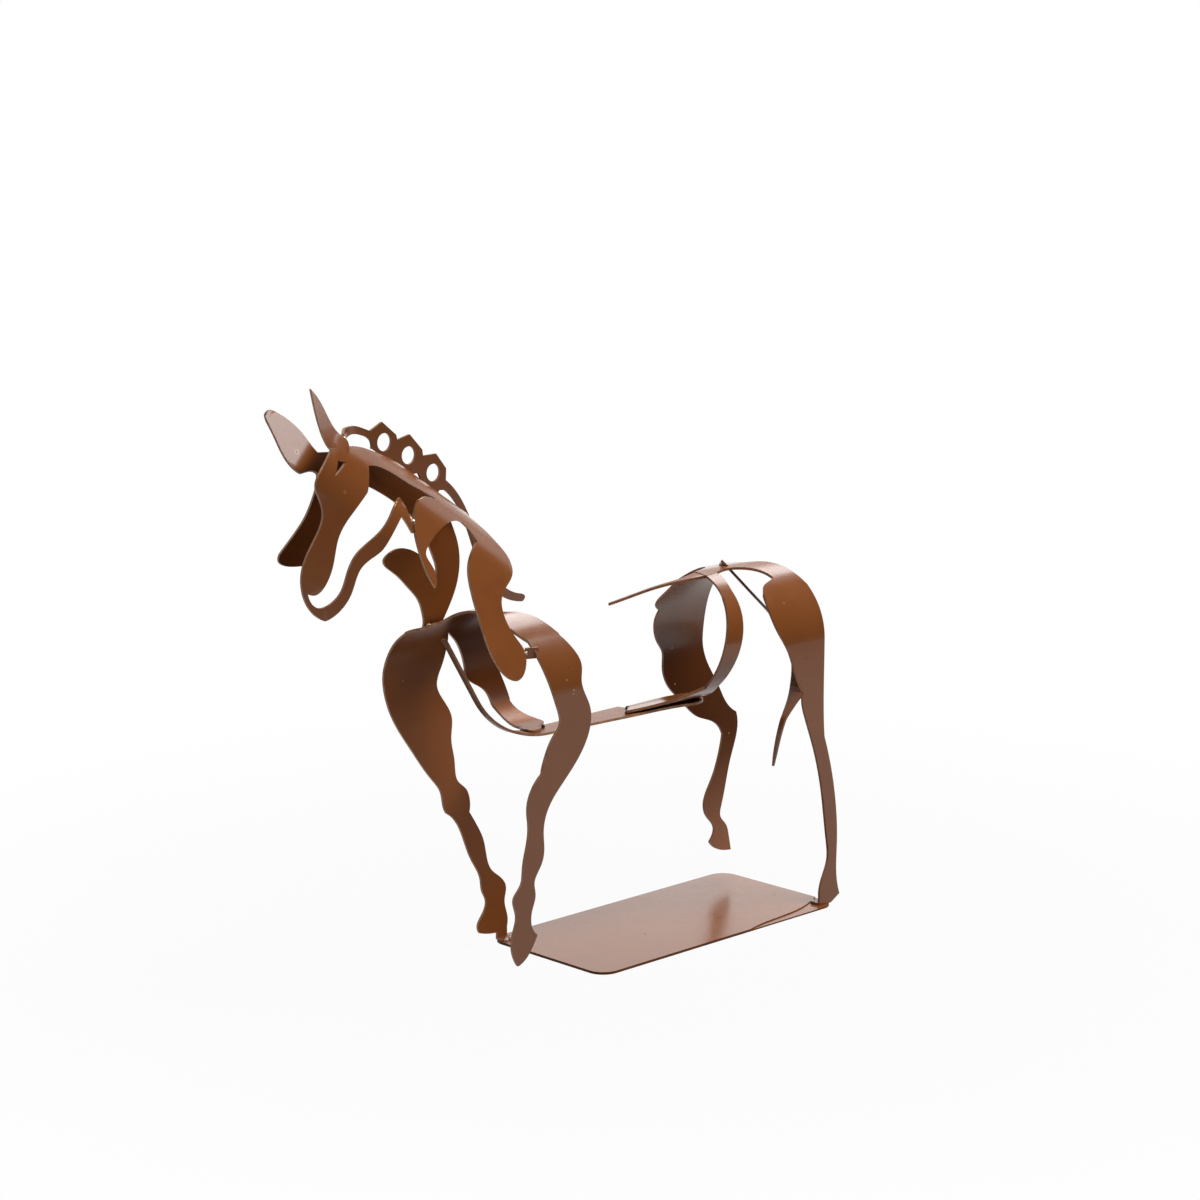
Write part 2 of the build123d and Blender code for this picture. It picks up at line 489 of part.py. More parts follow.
def tail_stations():
    """Points down the middle of the tail, the width there and how far the strip has turned."""
    wide = tail_width
    marks = [(29.9, 139.5, 0.8, 56), (32, 137.7, 3.0, 56), (46.4, 125.1, 3.4, 56), (58.1, 114.9, 4.4, 57),
             (67.5, 105.8, 0.7 * wide, 62), (73.6, 96.5, 0.88 * wide, 72), (76, 88.5, wide, 84),
             (75.4, 82, 0.95 * wide, 90), (72, 77, 0.58 * wide, 90), (68, 72, 0.33 * wide, 90),
             (66.2, 69.2, 0.28 * wide, 90), (63.8, 63, 2.0, 90), (62.1, 57, 1.5, 90), (60.9, 52, 0.5, 90)]
    stations = [((x, z), w, turn) for x, z, w, turn in marks[:3]]
    # Below the root the marks are eased into one another, with two stations between each pair
    for a, b, c, d in zip(marks[1:-2], marks[2:-1], marks[3:], marks[4:] + [marks[-1]]):
        for t in (1 / 3, 2 / 3, 1):
            eased = []
            for p, q, r, s in zip(a, b, c, d):
                bow = 2 * p - 5 * q + 4 * r - s
                lift = 3 * (q - r) + s - p
                eased.append(q + 0.5 * t * (r - p + t * (bow + t * lift)))
            stations.append(((eased[0], eased[1]), eased[2], eased[3]))
    return stations


def tail_strip(stations, extra):
    """A twisted strip through the stations, with extra width and thickness all over."""
    points = [place for place, wide, turn in tail_stations()]
    sections = []
    for (x, z), wide, turn in stations:
        index = points.index((x, z))
        before = points[max(index - 1, 0)]
        after = points[min(index + 1, len(points) - 1)]
        heading = Vector(after[0] - before[0], 0, after[1] - before[1]).normalized()
        level = Vector(math.cos(math.radians(turn)), math.sin(math.radians(turn)), 0)
        across = (level - heading * level.dot(heading)).normalized()
        at = Plane(origin=(x, 0, z - 137.0 + back), x_dir=across, z_dir=heading)
        sections.append(at * Rectangle(wide + extra, sheet + extra))
    return loft(sections, ruled=True)


def make_tail():
    """A narrow strip that hangs from the croup and opens into a pointed blade."""
    return tail_strip(tail_stations(), 0)


def weld_places():
    """Middles of the tack welds, each beside the edge of one sheet on the face of another."""
    blade, leg = shoulder_tab()
    fore_y = half_width - foot_tab
    hind_y = foot_tab - half_width
    jaw_x, jaw_z = above([(-139.9, 176.8)])[0]
    ear_x, ear_z = above([(-166.9, 207.8)])[0]
    chest = above([(-104.5, 131)])[0]
    chest_y = neck_reach(chest[0], chest[1], far_splay, 0)
    chest_z = hip_height + math.sqrt((half_width + sheet / 2) ** 2 - (chest_y - 1) ** 2)
    on_strap = belly_height + 0.2
    return [(-62.6, fore_y, base_top + 0.2), (-60.2, fore_y, base_top + 0.2),
            (59, hind_y, heel_floor + 0.2), (63, hind_y, heel_floor + 0.2),
            tuple(blade), (chest[0], chest_y - 1, chest_z), (chest[0] + 4, chest_y - 1, chest_z),
            (-73, 1, on_strap), (-63.6, 2.6, on_strap), (-25.6, -4, on_strap), (-20.2, 1.2, on_strap),
            (jaw_x, -neck_reach(jaw_x, jaw_z, near_splay, near_drop), jaw_z),
            (ear_x, -ear_reach + 0.4, ear_z),
            (31.6, 1.6, back + 0.6)]


def make_tack_welds(sheets):
    """Small beads of weld metal, shaped by the sheets they join."""
    beads = []
    rings = [(-0.85, 0.55), (-0.4, 0.95), (0.4, 0.95), (0.85, 0.55)]
    slices = [Pos(0, 0, rise * bead) * RegularPolygon(wide * bead, 6) for rise, wide in rings]
    ball = loft(slices, ruled=True)
    for place in weld_places():
        drop = Pos(*place) * ball
        for solid in sheets:
            drop = drop - solid
        beads += [bit for bit in drop.solids() if bit.volume > 0.3]
    return Compound(children=beads)


parts = {}
parts["base_plate"] = make_base_plate()
parts["near_neck"] = make_near_neck()
parts["far_neck"] = make_far_neck()
parts["mane"] = make_mane()
parts["belly_strap"] = make_belly_strap(0)
parts["forequarters"] = make_forequarters()
parts["hindquarters"] = make_hindquarters()
parts["tail"] = make_tail()
parts["tack_welds"] = make_tack_welds(list(parts.values()))

os.makedirs("parts", exist_ok=True)
for name, shape in parts.items():
    export_step(shape, f"parts/{name}.step")
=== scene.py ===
import bpy
import bmesh
import math
from mathutils import Matrix, Vector


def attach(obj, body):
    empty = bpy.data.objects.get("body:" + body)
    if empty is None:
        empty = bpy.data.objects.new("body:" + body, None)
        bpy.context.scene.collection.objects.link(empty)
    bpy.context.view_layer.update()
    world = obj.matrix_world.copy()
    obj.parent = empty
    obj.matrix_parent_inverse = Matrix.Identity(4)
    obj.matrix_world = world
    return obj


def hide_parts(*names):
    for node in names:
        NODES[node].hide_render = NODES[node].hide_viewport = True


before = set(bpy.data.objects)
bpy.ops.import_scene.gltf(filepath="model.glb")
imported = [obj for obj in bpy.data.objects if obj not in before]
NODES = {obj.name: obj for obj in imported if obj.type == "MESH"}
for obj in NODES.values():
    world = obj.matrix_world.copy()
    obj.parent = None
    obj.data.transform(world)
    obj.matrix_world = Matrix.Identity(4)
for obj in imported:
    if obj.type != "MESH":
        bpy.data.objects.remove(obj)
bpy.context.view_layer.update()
MM = 0.001

# Where the photographer stood, in metres and degrees, with the lens in millimetres
CAMERA_PLACE = (-0.8048, -0.7849, 0.3497)
CAMERA_AZIMUTH = 44.40
CAMERA_DOWN = 11.15
CAMERA_LENS = 90.0
SENSOR_WIDTH = 36.0
NEAREST_SHOWN = 0.05
FARTHEST_SHOWN = 20.0

# Colours of the lacquer, the cut edges and the welds, linear
LACQUER_BROWN = (0.150, 0.045, 0.0105)
LACQUER_DARK = (0.098, 0.028, 0.0065)
LACQUER_WARM = (0.178, 0.058, 0.016)
# LACQUER_SHADED is painted shade, laid where the figure's own shade falls
LACQUER_SHADED = (0.066, 0.018, 0.0040)
# The inner and breast coats are lighter copies of the brown lacquer: painted light on the dim far faces
LACQUER_INNER_PAINTED_LIGHT = (0.212, 0.065, 0.0155)
LACQUER_BREAST_PAINTED_LIGHT = (0.320, 0.098, 0.0225)
# The cut edges' tan and orange are a painted highlight, paler than the lacquer for the light the edges
# catch
CUT_HIGHLIGHT_TAN = (0.320, 0.170, 0.090)
CUT_ORANGE = (0.210, 0.085, 0.029)
SCRATCH_PALE = (0.300, 0.190, 0.140)
SPECK_DARK = (0.018, 0.009, 0.006)
SPECK_PALE = (0.300, 0.170, 0.095)
WELD_SILVER = (0.55, 0.44, 0.36)
WELD_DARK = (0.035, 0.020, 0.014)

# How uneven the lacquer is: clouds to the metre, and the share of the colour laid over it
CLOUDS = 38.0
CLOUD_SHARE = 0.35
STAINS = 85.0
STAIN_SHARE = 0.25
SCUFFS = 55.0
SCUFF_TURN = (0.3, 0.5, 0.4)
SCUFF_SQUEEZE = (1.0, 7.0, 3.0)
SCUFF_SHARE = 0.25
SPECKS = 150.0
SPECK_MIDDLE = 0.035
SPECK_RIM = 0.055
SPECK_FIELDS = 22.0
DULL_PATCHES = 120.0
DULL_BELOW = 0.02
DULL_ABOVE = 0.03

# Grain to the metre, its strength and its depth in metres
LACQUER_GRAIN = (900.0, 0.05, 0.0002)
EDGE_GRAIN = (1500.0, 0.15, 0.0001)

# The soft rim of a single mark, in shares of its radius
MARK_RIM = 1.15
MARK_CORE = 0.75

# The sheets' meshes, in metres and degrees, and the slots of their finishes
MERGE_DISTANCE = 2e-6
CUT_ANGLE = 32.0
CUT_WIDTH = 0.0012
CREST_START = 0.078
COAT, EDGE, INSIDE = 0, 1, 2

# Where a sheet's inner face is: how far its normal turns, and how far from the middle it lies, in metres
NECK_TURN_UP = 0.3
LEG_TURN_IN = -0.05
LEG_START = 0.004

# Single marks that show on the lacquer, specks and, where said, painted shade: place and radius in
# millimetres, and colour
BASE_MARKS = (
    ((14.9, 18.6, 1.0), 0.5, SPECK_DARK),
    ((-18.9, -7.1, 1.0), 0.8, SPECK_DARK),
    ((54.7, -6.9, 1.0), 0.6, SPECK_DARK),
)
EAR_MARKS = (
    ((-170.5, 10.3, 201.6), 0.95, SPECK_PALE),
    ((-170.5, 10.3, 201.6), 0.55, SPECK_DARK),
)
FORE_SPECKS_AND_GAP_SHADE = (
    ((-77.1, -28.5, 109.9), 0.45, SPECK_PALE),
    ((-77.4, -28.5, 108.6), 0.35, SPECK_PALE),
    ((-80.2, -28.1, 114.0), 0.35, SPECK_PALE),
    ((-109.7, 27.5, 109.3), 0.35, SPECK_PALE),
    # These two dark marks are painted shade, for the gaps beside the girth's welded tab
    ((-71.6, 6.2, 89.6), 1.3, SPECK_DARK),
    ((-65.6, 1.2, 89.6), 1.2, SPECK_DARK),
)
HIND_MARKS = (
    ((32.6, 27.5, 85.7), 0.40, SPECK_PALE),
    ((64.3, 27.5, 60.2), 0.35, SPECK_PALE),
    ((30.8, 27.5, 100.6), 0.35, SPECK_PALE),
    ((39.9, -23.7, 124.8), 0.30, SPECK_PALE),
)
FACE_MARKS = (
    ((-170.8, -15.3, 190.7), 0.7, CUT_ORANGE),
    ((-166.8, -9.6, 209.0), 0.9, SPECK_DARK),
)
# Dark marks on the strap: painted shade, for the gaps beside the welded tabs
STRAP_GAP_SHADE_MARKS = (
    ((-71.6, 6.2, 88.6), 1.3, SPECK_DARK),
    ((-65.6, 1.2, 88.6), 1.2, SPECK_DARK),
    ((-20.5, 1.3, 89.0), 1.2, SPECK_DARK),
    ((-28.4, -5.0, 88.6), 0.9, SPECK_DARK),
)

# Directions over the figure, which faces the -X way
UP = (0.0, 0.0, 1.0)
UP_THE_NECK = (0.559, 0.0, 0.829)
DOWN_THE_EAR = (0.64, -0.44, -0.63)
BESIDE_THE_LEG = (1.0, 0.0, 0.47)
TO_THE_TAIL = (1.0, 0.0, 0.0)

# Where the hammered sheet leans: the lean, then limits, each a direction with a start and an end in metres
NEAR_EAR_LEAN = ((0.0, 0.0, 0.60), ((UP, 0.198, 0.214),))
CREST_LEAN = (
    (0.28, 0.0, 0.38),
    ((UP_THE_NECK, 0.0715, 0.0815), (UP_THE_NECK, 0.0850, 0.0805), (UP, 0.212, 0.206)),
)
FACE_LEAN = ((0.0, 0.0, 0.10), ((UP, 0.196, 0.180),))
FAR_EAR_LEAN = (
    (0.0, -0.20, -0.62),
    ((DOWN_THE_EAR, -0.2400, -0.2335), (UP, 0.190, 0.194)),
)
FORELEG_LEAN = ((0.0, -0.10, 0.0), ((UP, 0.096, 0.092),))
THIGH_LEAN = ((0.0, 0.0, -0.36), ((UP, 0.098, 0.116),))
GASKIN_LEAN = ((0.0, 0.0, 0.24), ((UP, 0.106, 0.090),))
MANE_LEAN = ((0.0, 0.0, -0.12), ((UP, 0.120, 0.130),))

# Where shade is painted into the coat, as the figure's own shade falls on the inner faces, and where the
# welds are darker along the belly: limits as above
HIND_SHADE = ((UP, 0.010, 0.070), (UP, 0.118, 0.100))
GIRTH_SHADE = ((BESIDE_THE_LEG, -0.0375, -0.0325), (UP, 0.091, 0.098))
CHEEK_SHADE = ((TO_THE_TAIL, -0.125, -0.152),)
EAR_SHADE = ((DOWN_THE_EAR, -0.238, -0.232), (UP, 0.186, 0.192))
BELLY_WELDS_DARKER = ((UP, 0.096, 0.093), (UP, 0.078, 0.082))

# The table and the room, in metres, with the share of plain white under the figure
WHITE = (1.0, 1.0, 1.0)
TABLE_GREY = (0.30, 0.30, 0.30)
TABLE_RADIUS = 3.0
TABLE_SIDES = 96
TABLE_FADE = (0.10, 0.45)
TABLE_WHITE_NEAR = 0.95
ROOM_LIGHT = 0.20
MATT = 0.9

# A black card that stands beside the figure, in metres
CARD_BLACK = (0.02, 0.02, 0.02)
CARD_WAY = (0.60, -0.80, 0.0)
CARD_AWAY = 0.345
CARD_WIDTH = 0.76
CARD_HEIGHT = 1.0

# Softboxes: name, place, aim, width and height in metres, and power in watts
FIGURE_MIDDLE = (-0.05, 0.0, 0.11)
EARS = (-0.17, 0.015, 0.20)
OVER_THE_BACK = (0.0, 0.0, 0.20)
SOFTBOXES = (
    ("key_softbox", (0.26, -0.53, 1.20), FIGURE_MIDDLE, 0.6, 0.6, 18.0),
    ("side_softbox", (0.75, 0.38, 0.94), FIGURE_MIDDLE, 0.5, 0.5, 5.0),
    ("ear_softbox", (0.222, -0.2376, 0.637), EARS, 0.224, 0.224, 1.2),
    ("back_softbox", (1.0, 1.05, 0.29), OVER_THE_BACK, 1.4, 0.30, 1.3),
)


def rgba(colour):
    """A colour with full cover."""
    return (colour[0], colour[1], colour[2], 1.0)


class Finish:
    """A material with short ways to add its nodes."""

    def __init__(self, name):
        self.material = bpy.data.materials.new(name)
        self.material.use_nodes = True
        self.tree = self.material.node_tree
        self.shader = self.tree.nodes["Principled BSDF"]
        self.place = self.add("ShaderNodeTexCoord").outputs["Object"]

    def add(self, kind, **settings):
        """A new node with its settings."""
        node = self.tree.nodes.new(kind)
        for key, value in settings.items():
            setattr(node, key, value)
        return node

    def join(self, source, target):
        """A link from one socket to another."""
        self.tree.links.new(source, target)

    def noise(self, scale, detail=4.0, rough=0.5, stretch=None):
        """Cloudy values from 0 to 1, with scale in clouds to the metre."""
        node = self.add("ShaderNodeTexNoise")
        node.inputs["Scale"].default_value = scale
        node.inputs["Detail"].default_value = detail
        node.inputs["Roughness"].default_value = rough
        place = self.place
        if stretch:
            turn, squeeze = stretch
            mapping = self.add("ShaderNodeMapping")
            mapping.inputs["Rotation"].default_value = turn
            mapping.inputs["Scale"].default_value = squeeze
            self.join(place, mapping.inputs["Vector"])
            place = mapping.outputs["Vector"]
        self.join(place, node.inputs["Vector"])
        return node.outputs["Fac"]

    def spots(self, scale, middle, rim):
        """Round specks: 1 at the middle of each cell and 0 past its rim."""
        node = self.add("ShaderNodeTexVoronoi")
        node.inputs["Scale"].default_value = scale
        self.join(self.place, node.inputs["Vector"])
        return self.ramp(node.outputs["Distance"], rim, middle)

    def ramp(self, value, start, end, low=0.0, high=1.0):
        """A smooth step from low to high as value goes from start to end."""
        node = self.add("ShaderNodeMapRange", interpolation_type="SMOOTHSTEP")
        node.inputs["From Min"].default_value = start
        node.inputs["From Max"].default_value = end
        node.inputs["To Min"].default_value = low
        node.inputs["To Max"].default_value = high
        self.join(value, node.inputs["Value"])
        return node.outputs["Result"]

    def along(self, way):
        """How far a point lies along a direction."""
        node = self.add("ShaderNodeVectorMath", operation="DOT_PRODUCT")
        self.join(self.place, node.inputs[0])
        node.inputs[1].default_value = way
        return node.outputs["Value"]

    def mark(self, place, radius):
        """A round mark with a soft rim: 1 inside it and 0 outside."""
        node = self.add("ShaderNodeVectorMath", operation="DISTANCE")
        self.join(self.place, node.inputs[0])
        node.inputs[1].default_value = tuple(value * MM for value in place)
        return self.ramp(node.outputs["Value"], radius * MM * MARK_RIM, radius * MM * MARK_CORE)

    def within(self, limits):
        """1 past every limit and 0 before any of them."""
        share = None
        for way, start, end in limits:
            step = self.ramp(self.along(way), start, end)
            share = step if share is None else self.product(share, step)
        return share

    def leaning(self, leans):
        """The surface normal, leant over by small amounts in places."""
        normal = self.add("ShaderNodeNewGeometry").outputs["Normal"]
        for lean, limits in leans:
            part = self.add("ShaderNodeVectorMath", operation="SCALE")
            part.inputs[0].default_value = lean
            self.join(self.within(limits), part.inputs["Scale"])
            total = self.add("ShaderNodeVectorMath", operation="ADD")
            self.join(normal, total.inputs[0])
            self.join(part.outputs["Vector"], total.inputs[1])
            normal = total.outputs["Vector"]
        level = self.add("ShaderNodeVectorMath", operation="NORMALIZE")
        self.join(normal, level.inputs[0])
        return level.outputs["Vector"]

    def product(self, first, second):
        """Two shares multiplied."""
        node = self.add("ShaderNodeMath", operation="MULTIPLY")
        self.join(first, node.inputs[0])
        self.join(second, node.inputs[1])
        return node.outputs["Value"]

    def blend(self, share, below, above):
        """One colour laid over another by a share from 0 to 1."""
        node = self.add("ShaderNodeMix", data_type="RGBA")
        self.join(share, node.inputs["Factor"])
        for socket, colour in ((node.inputs["A"], below), (node.inputs["B"], above)):
            if isinstance(colour, tuple):
                socket.default_value = rgba(colour)
            else:
                self.join(colour, socket)
        return node.outputs["Result"]

    def roughen(self, grain, normal=None):
        """A fine grain on the surface, over a leant normal where one is given."""
        scale, strength, depth = grain
        bump = self.add("ShaderNodeBump")
        bump.inputs["Strength"].default_value = strength
        bump.inputs["Distance"].default_value = depth
        self.join(self.noise(scale, detail=2.0), bump.inputs["Height"])
        if normal is not None:
            self.join(normal, bump.inputs["Normal"])
        self.join(bump.outputs["Normal"], self.shader.inputs["Normal"])


def lacquer(name, roughness=0.22, gloss=0.5, body=LACQUER_BROWN, shaded=None, marks=(), leans=()):
    """Satin brown stoving lacquer on sheet iron, with grain, scuffs and specks."""
    finish = Finish(name)
    cloud = finish.ramp(finish.noise(CLOUDS, detail=3.0), 0.36, 0.66, high=CLOUD_SHARE)
    colour = finish.blend(cloud, body, LACQUER_WARM)
    stain = finish.ramp(finish.noise(STAINS, rough=0.6), 0.50, 0.78, high=STAIN_SHARE)
    colour = finish.blend(stain, colour, LACQUER_DARK)
    # Painted shade: the coat darkens within the shaded limits, where the figure's own shade falls
    if shaded:
        colour = finish.blend(finish.within(shaded), colour, LACQUER_SHADED)
    scuff = finish.noise(SCUFFS, detail=6.0, rough=0.62, stretch=(SCUFF_TURN, SCUFF_SQUEEZE))
    colour = finish.blend(finish.ramp(scuff, 0.68, 0.76, high=SCUFF_SHARE), colour, SCRATCH_PALE)
    speck = finish.spots(SPECKS, SPECK_MIDDLE, SPECK_RIM)
    field = finish.ramp(finish.noise(SPECK_FIELDS, detail=1.0), 0.56, 0.62)
    colour = finish.blend(finish.product(speck, field), colour, SPECK_DARK)
    for place, radius, tint in marks:
        colour = finish.blend(finish.mark(place, radius), colour, tint)
    finish.join(colour, finish.shader.inputs["Base Color"])
    dull = finish.noise(DULL_PATCHES, detail=5.0, rough=0.6)
    dull = finish.ramp(dull, 0.3, 0.75, roughness - DULL_BELOW, roughness + DULL_ABOVE)
    finish.join(dull, finish.shader.inputs["Roughness"])
    finish.shader.inputs["IOR"].default_value = 1.45
    finish.shader.inputs["Specular IOR Level"].default_value = gloss
    finish.roughen(LACQUER_GRAIN, finish.leaning(leans) if leans else None)
    return finish.material


def cut_edge(name, pale, deep):
    """The sheared edge of the sheet, in a pale coat that is a painted highlight for the light the edges
    catch.
    """
    finish = Finish(name)
    streak = finish.ramp(finish.noise(260.0, rough=0.6), 0.35, 0.68)
    finish.join(finish.blend(streak, pale, deep), finish.shader.inputs["Base Color"])
    dull = finish.ramp(finish.noise(500.0, detail=3.0), 0.3, 0.7, low=0.34, high=0.50)
    finish.join(dull, finish.shader.inputs["Roughness"])
    finish.shader.inputs["Metallic"].default_value = 0.30
    finish.roughen(EDGE_GRAIN)
    return finish.material


def weld_metal(name):
    """Bright weld metal with soot in its hollows, and darker all over under the belly."""
    finish = Finish(name)
    hollow = finish.ramp(finish.noise(1400.0, detail=3.0), 0.42, 0.62)
    colour = finish.blend(hollow, WELD_SILVER, WELD_DARK)
    # The welds under the belly darken all over
    colour = finish.blend(finish.within(BELLY_WELDS_DARKER), colour, WELD_DARK)
    finish.join(colour, finish.shader.inputs["Base Color"])
    finish.shader.inputs["Metallic"].default_value = 0.7
    finish.shader.inputs["Roughness"].default_value = 0.38
    return finish.material


def strips(shape):
    """Groups of faces with a crisp edge all round, each with its mean width."""
    crisp = math.radians(CUT_ANGLE)
    left = set(shape.faces)
    while left:
        heap = [left.pop()]
        group = []
        rim = 0.0
        while heap:
            face = heap.pop()
            group.append(face)
            for edge in face.edges:
                if len(edge.link_faces) != 2 or edge.calc_face_angle(0.0) > crisp:
                    rim += edge.calc_length()
                    continue
                for other in edge.link_faces:
                    if other in left:
                        left.remove(other)
                        heap.append(other)
        area = sum(face.calc_area() for face in group)
        yield group, 2.0 * area / rim


def slot_of(face, width, is_inside, hammered):
    """Which finish a face gets: the coat, the cut edge, or the inner coat."""
    middle = face.calc_center_median()
    if width >= CUT_WIDTH:
        return INSIDE if is_inside and is_inside(middle, face.normal) else COAT
    rolled_crest = middle.dot(Vector(UP_THE_NECK)) > CREST_START and face.normal.z > 0.0
    return COAT if hammered and rolled_crest else EDGE


def finished_sheet(node, coat, edge, inside=None, is_inside=None, hammered=False):
    """A merged copy of a CAD node, smooth over its bends and crisp along its cut edges."""
    source = NODES[node].data
    corners = iter(source.corner_normals)
    shape = bmesh.new()
    shape.from_mesh(source)
    bend = shape.loops.layers.float_vector.new("bend")
    for face in shape.faces:
        for loop in face.loops:
            loop[bend] = next(corners).vector
    bmesh.ops.remove_doubles(shape, verts=shape.verts, dist=MERGE_DISTANCE)
    shape.normal_update()
    for group, width in strips(shape):
        for face in group:
            face.material_index = slot_of(face, width, is_inside, hammered)
    bends = [loop[bend].copy() for face in shape.faces for loop in face.loops]
    shape.loops.layers.float_vector.remove(bend)
    mesh = bpy.data.meshes.new(node + "_sheet")
    shape.to_mesh(mesh)
    shape.free()
    for finish in (coat, edge, inside):
        if finish:
            mesh.materials.append(finish)
    mesh.shade_smooth()
    mesh.set_sharp_from_angle(angle=math.radians(CUT_ANGLE))
    piece = bpy.data.objects.new(node + "_sheet", mesh)
    bpy.context.scene.collection.objects.link(piece)
    if hammered:
        even = piece.modifiers.new("even_bends", "WEIGHTED_NORMAL")
        even.keep_sharp = True
    else:
        mesh.normals_split_custom_set(bends)
    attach(piece, "root")
    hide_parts(node)


def in_far_neck(middle, normal):
    """The hollow of the neck, without the ear leaf."""
    return normal.y < 0.0 and normal.z < NECK_TURN_UP


def on_far_side(middle, normal):
    """The inner face of the far legs, from the hoof to the bend over the back."""
    return normal.y < LEG_TURN_IN and middle.y > LEG_START


def dress_figure():
    """Every sheet and weld with its own finishes."""
    # The cut edges carry a painted highlight, weaker on the hindquarters
    tan_edge = cut_edge("cut_edge", CUT_HIGHLIGHT_TAN, CUT_ORANGE)
    hind_edge = cut_edge("hind_cut_edge", CUT_ORANGE, LACQUER_BROWN)
    plain = lacquer("brown_lacquer")
    weld = weld_metal("weld_metal")

    base = lacquer("base_lacquer", body=LACQUER_WARM, marks=BASE_MARKS)
    # The base's edge gets the darker, duller lacquer as painted shade on its near edge
    base_edge = lacquer("base_edge_lacquer", roughness=0.40, gloss=0.10, body=LACQUER_DARK)
    finished_sheet("base_plate", base, base_edge)

    fore = lacquer("fore_lacquer", marks=FORE_SPECKS_AND_GAP_SHADE, leans=(FORELEG_LEAN,))
    # The far legs' inner faces get the lighter coat as painted light, with painted shade in the girth
    fore_inner = lacquer("fore_inner_lacquer", roughness=0.30, gloss=0.16, body=LACQUER_INNER_PAINTED_LIGHT,
                         shaded=GIRTH_SHADE, marks=FORE_SPECKS_AND_GAP_SHADE)
    finished_sheet("forequarters", fore, tan_edge, fore_inner, on_far_side)

    hind = lacquer("hind_lacquer", marks=HIND_MARKS)
    # The far thigh's inner face gets the lighter coat as painted light, with painted shade below the croup
    hind_inner = lacquer("hind_inner_lacquer", roughness=0.24, body=LACQUER_INNER_PAINTED_LIGHT,
                         shaded=HIND_SHADE, marks=HIND_MARKS, leans=(THIGH_LEAN, GASKIN_LEAN))
    finished_sheet("hindquarters", hind, hind_edge, hind_inner, on_far_side)

    near_neck = lacquer("near_neck_lacquer", marks=FACE_MARKS,
                        leans=(NEAR_EAR_LEAN, CREST_LEAN, FACE_LEAN))
    finished_sheet("near_neck", near_neck, tan_edge, hammered=True)

    # Painted shade at the far ear's root, where the near brow shades it
    far_neck = lacquer("far_neck_lacquer", shaded=EAR_SHADE, marks=EAR_MARKS, leans=(FAR_EAR_LEAN,))
    # The neck's hollow gets the lighter coat as painted light, with painted shade on the far cheek
    neck_inner = lacquer("neck_inner_lacquer", roughness=0.35, gloss=0.06, body=LACQUER_BREAST_PAINTED_LIGHT,
                         shaded=CHEEK_SHADE)
    finished_sheet("far_neck", far_neck, tan_edge, neck_inner, in_far_neck, hammered=True)

    finished_sheet("mane", lacquer("mane_lacquer", leans=(MANE_LEAN,)), tan_edge)
    strap = lacquer("strap_lacquer", roughness=0.28, gloss=0.2, marks=STRAP_GAP_SHADE_MARKS)
    finished_sheet("belly_strap", strap, tan_edge)
    finished_sheet("tail", plain, plain)
    finished_sheet("tack_welds", weld, weld)


def shown(tree):
    """1 for rays that see a thing straight, in a mirror or through glass, and 0 for rays that light it."""
    path = tree.nodes.new("ShaderNodeLightPath")
    total = path.outputs["Is Camera Ray"]
    for name in ("Is Glossy Ray", "Is Transmission Ray"):
        either = tree.nodes.new("ShaderNodeMath")
        either.operation = "MAXIMUM"
        tree.links.new(total, either.inputs[0])
        tree.links.new(path.outputs[name], either.inputs[1])
        total = either.outputs["Value"]
    return total


def flat_piece(name, radius, sides):
    """A flat disc or square of the studio, not part of the object."""
    mesh = bpy.data.meshes.new(name)
    shape = bmesh.new()
    bmesh.ops.create_circle(shape, cap_ends=True, segments=sides, radius=radius)
    shape.to_mesh(mesh)
    shape.free()
    piece = bpy.data.objects.new(name, mesh)
    bpy.context.scene.collection.objects.link(piece)
    return piece


def make_table():
    """A white table top that fades into the white room and keeps a soft shadow."""
    table = flat_piece("table_top", TABLE_RADIUS, TABLE_SIDES)
    finish = Finish("white_table")
    finish.shader.inputs["Base Color"].default_value = rgba(TABLE_GREY)
    finish.shader.inputs["Roughness"].default_value = MATT
    finish.shader.inputs["Specular IOR Level"].default_value = 0.0
    glow = finish.add("ShaderNodeEmission")
    glow.inputs["Strength"].default_value = 1.0
    away = finish.add("ShaderNodeVectorMath", operation="LENGTH")
    finish.join(finish.place, away.inputs[0])
    white = finish.ramp(away.outputs["Value"], *TABLE_FADE, low=TABLE_WHITE_NEAR)
    mix = finish.add("ShaderNodeMixShader")
    finish.join(finish.product(white, shown(finish.tree)), mix.inputs["Fac"])
    finish.join(finish.shader.outputs["BSDF"], mix.inputs[1])
    finish.join(glow.outputs["Emission"], mix.inputs[2])
    finish.join(mix.outputs["Shader"], finish.tree.nodes["Material Output"].inputs["Surface"])
    table.data.materials.append(finish.material)


def make_dark_card():
    """A black card that only the gloss shows, so that the upright sheets mirror something dark."""
    half_diagonal = math.sqrt(0.5)
    card = flat_piece("dark_card", half_diagonal, 4)
    finish = Finish("black_card")
    finish.shader.inputs["Base Color"].default_value = rgba(CARD_BLACK)
    finish.shader.inputs["Roughness"].default_value = MATT
    card.data.materials.append(finish.material)
    way = Vector(CARD_WAY).normalized()
    middle = way * CARD_AWAY + Vector(UP) * CARD_HEIGHT / 2.0
    upright = way.to_track_quat("Z", "Y").to_matrix().to_4x4()
    size = Matrix.Diagonal((CARD_HEIGHT, CARD_WIDTH, 1.0, 1.0))
    square = Matrix.Rotation(math.radians(45.0), 4, "Z")
    card.matrix_world = Matrix.Translation(middle) @ upright @ size @ square
    card.visible_camera = False
    card.visible_diffuse = False
    card.visible_shadow = False


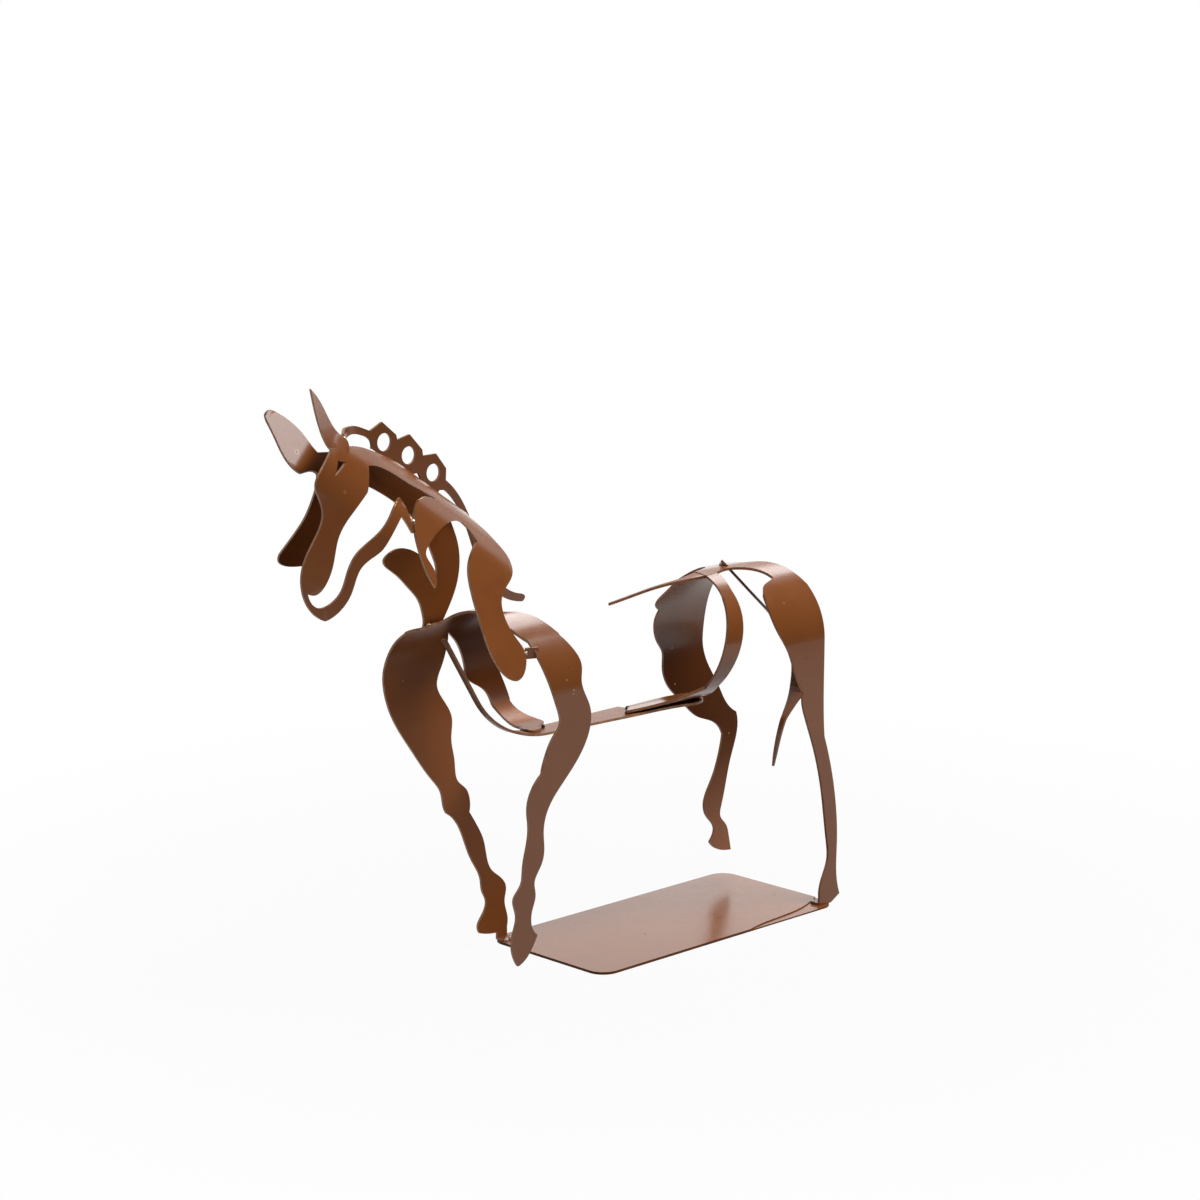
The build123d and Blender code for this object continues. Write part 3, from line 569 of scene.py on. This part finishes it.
def make_room():
    """A white room to look at, a dimmer one to light the lacquer."""
    world = bpy.data.worlds.new("studio")
    bpy.context.scene.world = world
    world.use_nodes = True
    tree = world.node_tree
    light = tree.nodes["Background"]
    light.inputs["Color"].default_value = rgba(WHITE)
    light.inputs["Strength"].default_value = ROOM_LIGHT
    white = tree.nodes.new("ShaderNodeBackground")
    white.inputs["Color"].default_value = rgba(WHITE)
    white.inputs["Strength"].default_value = 1.0
    mix = tree.nodes.new("ShaderNodeMixShader")
    tree.links.new(shown(tree), mix.inputs["Fac"])
    tree.links.new(light.outputs["Background"], mix.inputs[1])
    tree.links.new(white.outputs["Background"], mix.inputs[2])
    tree.links.new(mix.outputs["Shader"], tree.nodes["World Output"].inputs["Surface"])


def softbox(name, place, aim, width, height, power):
    """An oblong lamp that points from place to aim."""
    lamp = bpy.data.lights.new(name, "AREA")
    lamp.shape = "RECTANGLE"
    lamp.size = width
    lamp.size_y = height
    lamp.energy = power
    lamp_object = bpy.data.objects.new(name, lamp)
    lamp_object.location = place
    way = Vector(aim) - Vector(place)
    lamp_object.rotation_euler = way.to_track_quat("-Z", "Y").to_euler()
    lamp_object.visible_camera = False
    bpy.context.scene.collection.objects.link(lamp_object)


def make_camera():
    """The photograph's viewpoint."""
    camera = bpy.data.cameras.new("camera")
    camera.lens = CAMERA_LENS
    camera.sensor_width = SENSOR_WIDTH
    camera.clip_start = NEAREST_SHOWN
    camera.clip_end = FARTHEST_SHOWN
    camera_object = bpy.data.objects.new("camera", camera)
    camera_object.location = CAMERA_PLACE
    turn = math.radians(CAMERA_AZIMUTH)
    down = math.radians(CAMERA_DOWN)
    way = Vector((math.sin(turn) * math.cos(down), math.cos(turn) * math.cos(down), -math.sin(down)))
    camera_object.rotation_euler = way.to_track_quat("-Z", "Y").to_euler()
    bpy.context.scene.collection.objects.link(camera_object)
    bpy.context.scene.camera = camera_object


dress_figure()
make_table()
make_dark_card()
make_room()
make_camera()
for lamp in SOFTBOXES:
    softbox(*lamp)
bpy.context.scene.view_settings.view_transform = "Standard"
